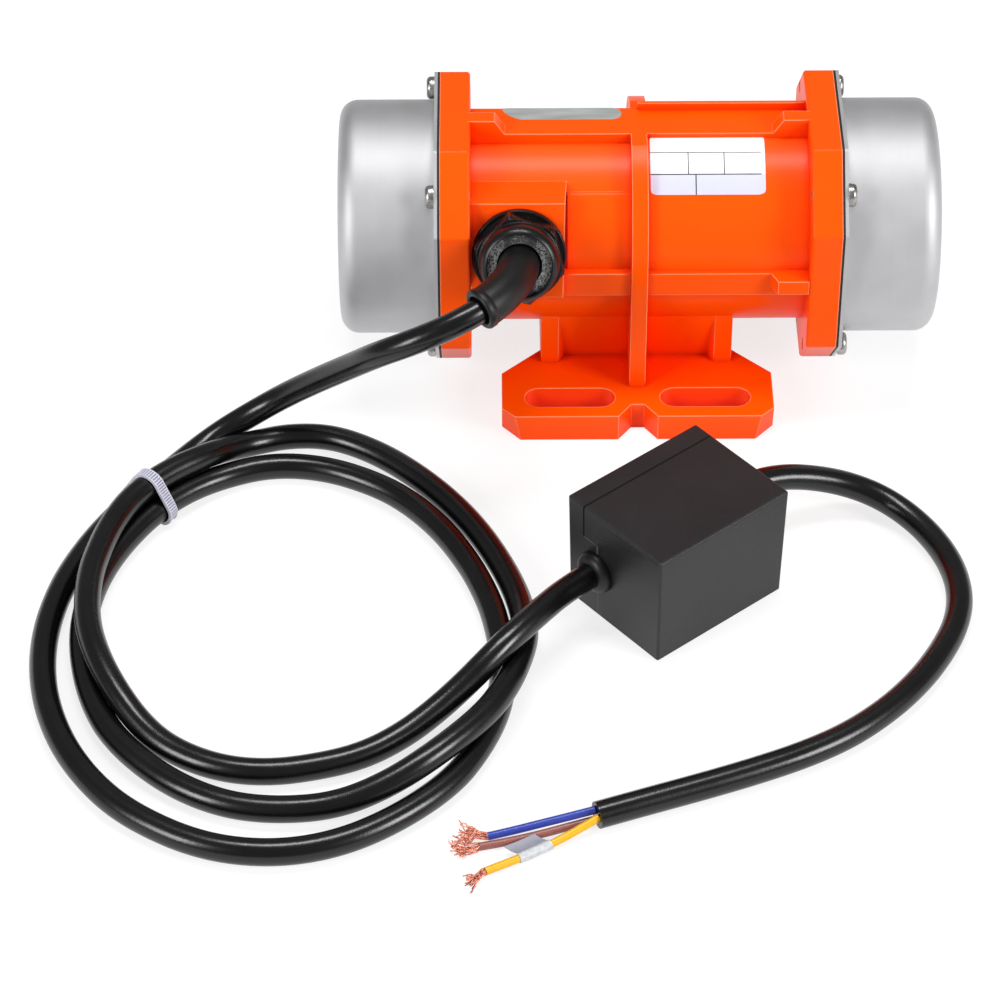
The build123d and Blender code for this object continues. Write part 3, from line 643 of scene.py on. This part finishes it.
first_turn = [
    (121.1, 77.0, 4.14), (133.7, 71.9, 4.58), (147.4, 69.0, 3.85), (163.5, 67.4, 3.85),
    (181.4, 67.6, 3.85), (199.5, 69.8, 3.85), (216.1, 73.4, 3.85), (230.4, 77.5, 3.85),
    (242.4, 81.2, 3.85), (257.2, 85.3, 3.85), (270, 86.5, 3.85), (282, 85.1, 3.85),
    (294.5, 81.4, 3.85), (309, 77.5, 3.85), (320.6, 73.4, 3.85), (334.1, 69.5, 3.85),
    (349.5, 65.1, 3.85), (366.1, 61.9, 3.85), (378, 61.2, 3.85), (390.4, 61.9, 3.85),
    (404.5, 64.5, 3.85), (416.8, 67.7, 3.85), (427.4, 70.7, 3.85), (441.3, 74.1, 3.85),
    (454.1, 75.1, 3.85), (466.0, 72.5, 3.86), (476.5, 69.0, 4.74),
]
second_turn = [
    (487.9, 65.5, 4.77), (503, 61.7, 3.95), (518, 58.8, 3.85), (534, 57.1, 3.85), (551, 56.6, 3.85),
    (568.6, 58.3, 3.85), (584.2, 61.3, 3.85), (603, 65.2, 3.85), (618, 68.7, 3.85),
    (630.4, 70.1, 3.9), (644, 71.4, 4.6), (656, 72.0, 8.0), (668, 72.0, 11.4), (684, 71.6, 11.8),
    (696, 71.0, 11.4), (707, 70.3, 10.0), (718, 70.3, 6.8), (729.9, 69.9, 4.28), (742.9, 69.9, 3.85),
    (758.1, 72.0, 3.85), (771.3, 75.6, 3.85), (782.8, 80.1, 3.88), (792.6, 84.9, 3.85),
    (801.9, 88.8, 3.85), (810.2, 88.5, 3.85), (817.7, 85.0, 4.56), (824.0, 80.2, 7.56), (829.1, 75.5, 10.68),
]
third_turn = [
    (839, 71.9, 11.9), (850, 68.9, 11.6), (860, 64.7, 11.8), (870, 60.9, 11.8), (883.6, 57.6, 11.9),
    (901.8, 54.7, 11.9), (918, 53.2, 11.5), (932, 52.8, 9.2), (945, 53.4, 5.8), (957.8, 54.6, 4.0),
    (973.8, 55.8, 3.85), (989, 55.7, 3.85),
]
box_run = [
    (-90.3, -193.7, 3.85), (-79.0, -189.3, 3.85), (-68.5, -182.5, 5.0), (-59.8, -175.8, 7.8),
    (-52.4, -169.6, 11.1), (-45.6, -164.0, 15.2), (-39.2, -157.4, 17.9), (-31.6, -147.9, 18.3),
    (-22.8, -135.9, 17.0), (-13.2, -127.9, 17.0),
]


def turn_points(turns):
    spots = []
    for angle, reach, height in turns:
        way = math.radians(angle)
        spots.append((coil_centre[0] + reach * math.cos(way), coil_centre[1] + reach * math.sin(way), height))
    return spots


def in_metres(spot):
    return [c / 1000 for c in spot]


def cable(name, points, thickness, finish, slot, *stands_for):
    """A smooth round cord along points in millimetres, in place of its CAD nodes."""
    curve = bpy.data.curves.new(name, "CURVE")
    curve.dimensions = "3D"
    curve.resolution_u = 10
    curve.bevel_depth = thickness
    curve.bevel_resolution = 6
    curve.use_fill_caps = True
    spline = curve.splines.new("NURBS")
    spline.points.add(len(points) - 1)
    for knot, point in zip(spline.points, points):
        knot.co = (*in_metres(point), 1)
    spline.order_u = 3
    spline.use_endpoint_u = True
    curve.materials.append(finish)
    piece = settle(name, curve)
    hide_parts(*stands_for)
    return piece


lead_route = gland_run + turn_points(first_turn + second_turn + third_turn) + box_run
power_lead = cable(
    "power_lead", lead_route, cable_radius, sheath, "cable_jacket", "motor_lead", "cord_coil", "box_lead",
)

# Sleeve: a thick rubber tube over the lead's first bend, with the line of its mould along
# it and a rolled end. It is pushed into the gland, and the lead runs loose in its mouth.
rubber, start = new_finish("sleeve_rubber")
skin = cloud(spot_on(start), 0.0008, 4)
broad = cloud(spot_on(start), 0.01, 3)
surface(start, {
    "Base Color": blend(broad, shade(5, 5, 6), shade(11, 11, 12)),
    "Roughness": 0.36 + 0.15 * broad,
    "Specular IOR Level": 0.42,
    "Normal": relief(skin * 0.3 + broad, 0.00006),
})
dress(rubber, "grommet_in", "grommet_out")


def own_line(piece):
    """The points of a cable's own smooth line, close together, in metres."""
    line = piece.data.copy()
    line.bevel_depth = 0
    line.resolution_u = 24
    holder = bpy.data.objects.new("own_line", line)
    bpy.context.scene.collection.objects.link(holder)
    mesh = bpy.data.meshes.new_from_object(holder)
    spots = [v.co.copy() for v in mesh.vertices]
    bpy.data.objects.remove(holder)
    return spots


def walk(spots, distances):
    """Place and direction at each distance along a line."""
    found = []
    for wanted in distances:
        left = wanted
        for a, b in zip(spots, spots[1:]):
            step = (b - a).length
            if left <= step and step > 0:
                break
            left -= step
        found.append((a.lerp(b, left / step), (b - a).normalized()))
    return found


def tube(name, line, stations, sides, finish, ridge=None):
    """A closed tube round a line, from (distance, radius) stations: out along it, back inside."""
    corners = []
    for (distance, reach), (middle, ahead_way) in zip(stations, walk(line, [spot[0] for spot in stations])):
        up_way = (Vector((0, 0, 1)) - ahead_way * ahead_way.z).normalized()
        side_way = ahead_way.cross(up_way)
        for i in range(sides):
            turn = 2 * math.pi * i / sides
            raised = ridge(turn, reach) if ridge else 0.0
            corners.append(middle + (side_way * math.cos(turn) + up_way * math.sin(turn)) * (reach + raised))
    return plain_piece(name, corners, turned(ring_faces(len(stations), sides)), finish, 50)


sleeve_reach, sleeve_radius = 0.0365, 0.0061
mouth_radius, throat_radius = 0.0046, 0.0039
rolled_end = [(-0.0023, 0.0), (-0.002, 0.00025), (-0.0006, 0.00025), (-0.0002, 0.0), (0.0, -0.0004)]
open_mouth = [(0.0, 0.0003), (-0.0003, 0.0), (-0.008, 0.0)]
mouth_end = 0.0081
mould_line, ridge_width, ridge_high = math.radians(62), 0.05, 0.00014
bore_most = 0.0055
stations = [(sleeve_reach * i / 40, sleeve_radius) for i in range(38)]
stations += [(sleeve_reach + back, sleeve_radius + raised) for back, raised in rolled_end]
stations += [(sleeve_reach + back, mouth_radius + wider) for back, wider in open_mouth]
stations += [(sleeve_reach - mouth_end, throat_radius), (0.0, throat_radius)]
sleeve_sides = 90


def mould_ridge(turn, reach):
    """The low line of the mould, which the sleeve's outside has and its bore lacks."""
    return ridge_high * math.exp(-((turn - mould_line) / ridge_width) ** 2) if reach > bore_most else 0.0


sleeve_line = own_line(power_lead)
sleeve = tube("bend_sleeve", sleeve_line, stations, sleeve_sides, rubber, mould_ridge)
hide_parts("cable_sleeve")

# Cable tie: natural nylon, slightly violet, drawn tight round the three turns. Its ribbed
# face is outward, and its small head lies low on the outer side of the coil.
milk_dark, milk_light = (190, 190, 210), (224, 224, 232)
tie_nylon = grained("tie_nylon", 0.003, 3, milk_dark, milk_light, 0.3, 0.2, 0.00004)
tie_middle = Vector((-0.1447, -0.0850, 0))
tie_way = math.radians(147)
tie_out = Vector((math.cos(tie_way), math.sin(tie_way), 0))
tie_across = Vector((-math.sin(tie_way), math.cos(tie_way), 0))
strand_spots = [(-0.0029, 0.0047), (0.0055, 0.0046), (0.0010, 0.0117)]
strap_inner = 0.0040
strap_thick = 0.0008
strap_half = 0.0016
rail_wide, rail_tall = 0.0003, 0.00022


def round_strands(reach, step):
    """Points round the strands at a distance from their lines, as a tight band runs."""
    spots = []
    count = len(strand_spots)
    for i in range(count):
        before, here, after = strand_spots[i - 1], strand_spots[i], strand_spots[(i + 1) % count]
        first = math.atan2(here[1] - before[1], here[0] - before[0]) - math.pi / 2
        last = math.atan2(after[1] - here[1], after[0] - here[0]) - math.pi / 2
        while last < first:
            last += 2 * math.pi
        turns = max(2, round((last - first) / step))
        for k in range(turns + 1):
            turn = first + (last - first) * k / turns
            spots.append((here[0] + reach * math.cos(turn), here[1] + reach * math.sin(turn)))
    return spots


def at_tie(out, up, aside):
    return tie_middle + tie_out * out + tie_across * aside + Vector((0, 0, max(up, 0.0001)))


def seen_from(place, middle):
    return place.node("ShaderNodeVectorMath", {"operation": "SUBTRACT"}, {0: place, 1: middle})


def reach_along(place, middle, way):
    """How far each spot lies from a middle along a way."""
    return dot(seen_from(place, middle), way)


strap_nylon, start = new_finish("strap_nylon")
place = start.node("ShaderNodeTexCoord", {}, {}, "Object")
# Painted shade: the strap's face between its two rails is coloured a darker violet grey, so the ribs stand
# out light.
groove_shade = near_line(reach_along(place, tie_middle, tie_across), 0.0, strap_half - rail_wide)
milk = cloud(place, 0.003, 3)
surface(start, {
    "Base Color": blend(groove_shade, blend(milk, shade(*milk_dark), shade(*milk_light)), shade(140, 140, 165)),
    "Roughness": 0.3 + 0.2 * milk,
    "Normal": relief(milk, 0.00004),
})
step = 0.15
inside = round_strands(strap_inner, step)
outside = round_strands(strap_inner + strap_thick, step)
railing = round_strands(strap_inner + strap_thick + rail_tall, step)
rail_edge = strap_half - rail_wide
corners = []
for inner, outer, rail in zip(inside, outside, railing):
    section = [(inner, -strap_half), (rail, -strap_half), (rail, -rail_edge), (outer, -rail_edge)]
    section += [(outer, rail_edge), (rail, rail_edge), (rail, strap_half), (inner, strap_half)]
    corners += [at_tie(*spot, aside) for spot, aside in section]
strap = plain_piece("tie_strap", corners, ring_faces(len(inside), len(section)), strap_nylon)
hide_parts("cable_tie")

ask = new_tree("strap_ribs", {
    "Pitch": NUMBER, "Width": NUMBER, "Thickness": NUMBER, "Side X": NUMBER, "Side Y": NUMBER,
    "Finish": FINISH,
})
track = ask["Geometry"].node("GeometryNodeMeshToCurve", {}, {"Mesh": ask["Geometry"]})
half_x, half_y = ask["Width"] * ask["Side X"] * 0.5, ask["Width"] * ask["Side Y"] * 0.5
one_end = track.node("ShaderNodeCombineXYZ", {}, {"X": half_x, "Y": half_y})
other_end = track.node("ShaderNodeCombineXYZ", {}, {"X": half_x * -1.0, "Y": half_y * -1.0})
strap_tree = bars_along(track, ask["Pitch"], one_end, other_end, ask["Thickness"], ask["Finish"])
ribs_start = 0.0032
lowest = max(i for i, (out, up) in enumerate(outside) if up <= ribs_start)
around = outside[lowest + 1:] + outside[:lowest + 1]
ribbed = [at_tie(out, up, 0) for out, up in around if up > ribs_start]
track_mesh = bpy.data.meshes.new("strap_track")
track_mesh.from_pydata(ribbed, [(i, i + 1) for i in range(len(ribbed) - 1)], [])
strap_ribs = grow(
    "tie_ribs", strap_tree,
    {
        "Pitch": 0.00082, "Width": 2 * rail_edge + 0.0001, "Thickness": 0.00023,
        "Side X": tie_across.x, "Side Y": tie_across.y, "Finish": tie_nylon,
    },
    base=track_mesh,
)
head_out, head_up = 0.0095, 0.0021
head_deep, head_tall, head_half = 0.0032, 0.0038, 0.0023
head_edge, head_bevel, head_end = 0.0005, 0.0003, 0.86
profile = []
for turn_x, turn_z, first in ((1, -1, -90), (1, 1, 0), (-1, 1, 90), (-1, -1, 180)):
    for k in range(4):
        bend = math.radians(first + 30 * k)
        profile.append((
            turn_x * (head_deep / 2 - head_edge) + head_edge * math.cos(bend),
            turn_z * (head_tall / 2 - head_edge) + head_edge * math.sin(bend),
        ))
count = len(profile)
corners = []
for aside, share in (
    (-head_half, head_end), (head_bevel - head_half, 1), (head_half - head_bevel, 1), (head_half, head_end),
):
    corners += [at_tie(head_out + out * share, head_up + up * share, aside) for out, up in profile]
faces = [tuple(reversed(range(count))), tuple(range(3 * count, 4 * count))]
faces += ring_faces(4, count)[:3 * count]
tie_head = plain_piece("tie_head", corners, turned(faces), tie_nylon)
in_metres(gland_run[0])

# Capacitor box: two black moulded shells with a fine grain, round a potted capacitor. Its
# leads go in and out through a rubber grommet in each of two opposite sides.
moulded, start = new_finish("moulded_box")
grain = cloud(spot_on(start), 0.0005, 3)
shine = cloud(spot_on(start), 0.02, 3)
rounded = rounding(start, 0.0006)
box_middle = (0.00862, -0.11895, 0.0265)
box_turn = math.radians(39.8)
box_side = (-math.sin(box_turn), math.cos(box_turn), 0.0)
seam_aside, seam_half = 0.0129, 0.0004
place = start.node("ShaderNodeTexCoord", {}, {}, "Object")
seam = near_line(reach_along(place, box_middle, box_side), seam_aside, seam_half)
seam = seam * (axis(place, "Z") > box_middle[2])
tone = blend(0.5 * shine + 0.5 * grain, shade(14, 14, 15), shade(30, 30, 32))
# Painted highlight: a lighter grey along the box's rounded edges.
tone = blend(edges(rounded, 0.99) * 0.9, tone, shade(124, 124, 128))
surface(start, {
    "Base Color": blend(seam, tone, shade(2, 2, 2)),
    "Roughness": 0.34 + 0.14 * shine + 0.5 * seam,
    "Specular IOR Level": 0.42,
    "Normal": relief(grain, 0.00008, rounded),
})
dress(moulded, "box_body", "box_cover")

can = grained("capacitor_can", 0.003, 3, (212, 210, 204), (232, 230, 226), 0.4, 0.2, 0.00003)
dress(can, "capacitor")

# Tail lead: the same sheathed cable, from the far side of the box in one wide bend over
# the floor to its cut end, where the supply cores come out.
tail_run = [
    (21.4, -99.1, 17.0), (31.0, -91.1, 17.0), (40.3, -86.6, 15.9), (50.0, -83.6, 13.0),
    (60.4, -82.4, 9.5), (70.5, -84.6, 6.3), (79.0, -91.4, 4.4), (85.5, -101.6, 3.9),
    (89.6, -113.5, 3.85), (90.7, -126.0, 3.85), (88.2, -138.3, 3.85), (82.8, -150.0, 3.85),
    (75.6, -161.5, 3.85), (66.0, -172.8, 3.85), (54.0, -183.2, 3.85), (40.5, -191.0, 3.85),
    (26.0, -197.4, 3.85), (12.2, -202.8, 3.85), (-1.7, -207.9, 3.85), (-16.3, -213.4, 3.85),
]
tail_lead = cable("supply_lead", tail_run, cable_radius, sheath, "cable_jacket", "tail_lead")
in_metres(tail_run[0])

# Supply cores: blue, brown and yellow insulated wires, pulled out of the cut sheath. The
# yellow one carries a blank tag of thin grey film, held by a white wrap round the wire.
core_colours = {"blue": (52, 70, 172), "brown": (152, 92, 86), "yellow": (248, 184, 0)}
core_radius = 0.00115
core_runs = {
    "blue": [
        (-16.8, -212.1, 4.6), (-23.8, -213.7, 3.7), (-31.2, -215.3, 2.8), (-38.6, -217.0, 1.9),
        (-45.9, -218.6, 1.2),
    ],
    "brown": [
        (-16.5, -213.3, 2.2), (-23.8, -215.3, 1.5), (-31.6, -217.9, 1.2), (-39.8, -220.5, 1.2),
        (-48.3, -222.6, 1.3),
    ],
    "yellow": [
        (-15.9, -214.7, 4.2), (-22.2, -218.4, 2.7), (-29.5, -222.4, 1.5), (-38.0, -227.4, 1.4),
        (-46.6, -231.6, 1.2),
    ],
}
cores = {}
for name, run in core_runs.items():
    tone = core_colours[name]
    insulation = grained(f"{name}_core", 0.002, 3, [c * 0.9 for c in tone], tone, 0.22, 0.2, 0.00003)
    cores[name] = cable(f"supply_core_{name}", run, core_radius, insulation, f"core_{name}", f"core_{name}")

white_film = grained("tag_wrap_film", 0.0014, 3, (160, 163, 168), (222, 224, 226), 0.3, 0.2, 0.0001)
grey_film = grained("tag_flag_film", 0.003, 3, (132, 132, 146), (156, 156, 168), 0.35, 0.2, 0.00004)
wrap_from, wrap_to = 0.0152, 0.0252
wrap_inner, wrap_outer = core_radius + 0.00003, core_radius + 0.0003
wrap_sides = 32
flag_near, flag_reach, flag_slant = 0.0006, 0.0047, 0.0022
flag_high, flag_sag, flag_thick = 0.0025, 0.0004, 0.0002
flag_inset = 0.0002
yellow_line = own_line(cores["yellow"])
rings = [(wrap_from, wrap_inner), (wrap_from, wrap_outer)]
rings += [(wrap_from + (wrap_to - wrap_from) * i / 12, wrap_outer) for i in range(1, 12)]
rings += [(wrap_to, wrap_outer), (wrap_to, wrap_inner)]
tag_wrap = tube("tag_wrap", yellow_line, rings, wrap_sides, white_film)
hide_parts("core_tag")

flag_steps = 10
flag_run = wrap_to - wrap_from - 2 * flag_inset
stops = walk(yellow_line, [wrap_from + flag_inset + flag_run * i / flag_steps for i in range(flag_steps + 1)])


def on_flag(a, b, side):
    """The flag hangs from the wrap's side: a runs out from it, from -0.5 to 0.5, and b along it."""
    middle, ahead_way = stops[round(b) + flag_steps // 2]
    side_way = ahead_way.cross(Vector((0, 0, 1))).normalized()
    share = a + 0.5
    spot = middle + side_way * (flag_near + (flag_reach - flag_near) * share) + ahead_way * flag_slant * share
    return (spot.x, spot.y, flag_high - flag_sag * math.sin(math.pi * share) + flag_thick * side)


tag_flag = film("tag_flag", 6, flag_steps, 0.5, flag_steps / 2, 0.0, on_flag, grey_film)
for name, core in cores.items():
    in_metres(core_runs[name][0])

# Copper: the bared ends of the three cores. Each is a loose tangle of fine bright wires,
# which starts inside the cut insulation and spreads just over the floor.
copper, start = new_finish("copper_strands")
# Painted highlights: pale pink patches scattered at random over the darker copper colour. The same patches
# also raise the roughness and the relief.
glint_patches = start.maths("MAXIMUM", cloud(spot_on(start), 0.0007, 3) * 3.0 - 1.0, 0.0)
surface(start, {
    "Base Color": blend(start.maths("MINIMUM", glint_patches, 1.0), shade(204, 88, 62), shade(255, 196, 170)),
    "Metallic": 0.5,
    "Roughness": 0.25 + 0.2 * glint_patches,
    "Normal": relief(glint_patches, 0.00003),
})
ask = new_tree("bare_wires", {
    "Wires": WHOLE, "Bundle": NUMBER, "Length": NUMBER, "Thickness": NUMBER, "Spread": NUMBER, "Curl": NUMBER,
    "Seed": WHOLE, "Finish": FINISH,
})


def corner_at(half, height=0.0):
    """The corner of a level square, from its half width and its height."""
    return half.node("ShaderNodeCombineXYZ", {}, {"X": half, "Y": half, "Z": height})


low, high = corner_at(ask["Bundle"] * -1.0), corner_at(ask["Bundle"])
vectors = {"data_type": "FLOAT_VECTOR"}
scatter = low.node("FunctionNodeRandomValue", vectors, {0: low, 1: high, "Seed": ask["Seed"]})
spots = low.node("GeometryNodePoints", {}, {"Count": ask["Wires"], "Position": scatter})
top = low.node("ShaderNodeCombineXYZ", {}, {"Z": ask["Length"]})
straight = low.node("GeometryNodeCurvePrimitiveLine", {}, {"End": top})
strand = low.node("GeometryNodeResampleCurve", {"mode": "COUNT"}, {"Curve": straight, "Count": 12})
most_twist = 3.1
lean_low, lean_high = corner_at(ask["Spread"] * -1.0, -most_twist), corner_at(ask["Spread"], most_twist)
lean = low.node("FunctionNodeRandomValue", vectors, {0: lean_low, 1: lean_high, "Seed": ask["Seed"] + 7})
single = {"data_type": "FLOAT"}
shrink = low.node("FunctionNodeRandomValue", single, {2: 0.7, 3: 1.0, "Seed": ask["Seed"] + 3}, 1)
wires = low.node("GeometryNodeInstanceOnPoints", {}, {
    "Points": spots, "Instance": strand, "Rotation": lean, "Scale": shrink,
})
real = low.node("GeometryNodeRealizeInstances", {}, {"Geometry": wires})
here = low.node("GeometryNodeInputPosition", {}, {})
swirl = low.node("ShaderNodeTexNoise", {"noise_dimensions": "4D"}, {
    "Vector": here, "W": ask["Seed"], "Scale": 300.0, "Detail": 1.0,
}, "Color")
sway = {0: seen_from(swirl, (0.5, 0.5, 0.5)), "Scale": ask["Curl"] * axis(here, "Z")}
bent = low.node("ShaderNodeVectorMath", {"operation": "SCALE"}, sway)
curled = low.node("GeometryNodeSetPosition", {}, {"Geometry": real, "Offset": bent})
wire_tree = end_tree(solid_bar(curled, 5, ask["Thickness"]), ask["Finish"])
bundle_half, wire_radius, wire_sunk = 0.00075, 0.00019, 0.0006
floor_gap = 0.0001
frays = {
    "blue": {"Wires": 36, "Length": 0.0088, "Spread": 0.3, "Curl": 1.2, "Seed": 11},
    "brown": {"Wires": 34, "Length": 0.0086, "Spread": 0.26, "Curl": 1.0, "Seed": 23},
    "yellow": {"Wires": 34, "Length": 0.0078, "Spread": 0.3, "Curl": 1.2, "Seed": 35},
}
fray_way = {"blue": (-0.98, -0.04, 0.1), "brown": (-0.95, -0.24, 0.06), "yellow": (-0.66, -0.72, 0.12)}
for name, sizes in frays.items():
    way = Vector(fray_way[name]).normalized()
    root = Vector(in_metres(core_runs[name][-1])) - way * wire_sunk
    place = Matrix.Translation(root) @ way.to_track_quat("Z", "Y").to_matrix().to_4x4()
    sizes = {**sizes, "Bundle": bundle_half, "Thickness": wire_radius, "Finish": copper}
    fray = grow(f"bare_wires_{name}", wire_tree, sizes, place=place)
    for corner_spot in fray.data.vertices:
        corner_spot.co.z = max(corner_spot.co.z, floor_gap)
    if name == "yellow":
        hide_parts("core_strands")
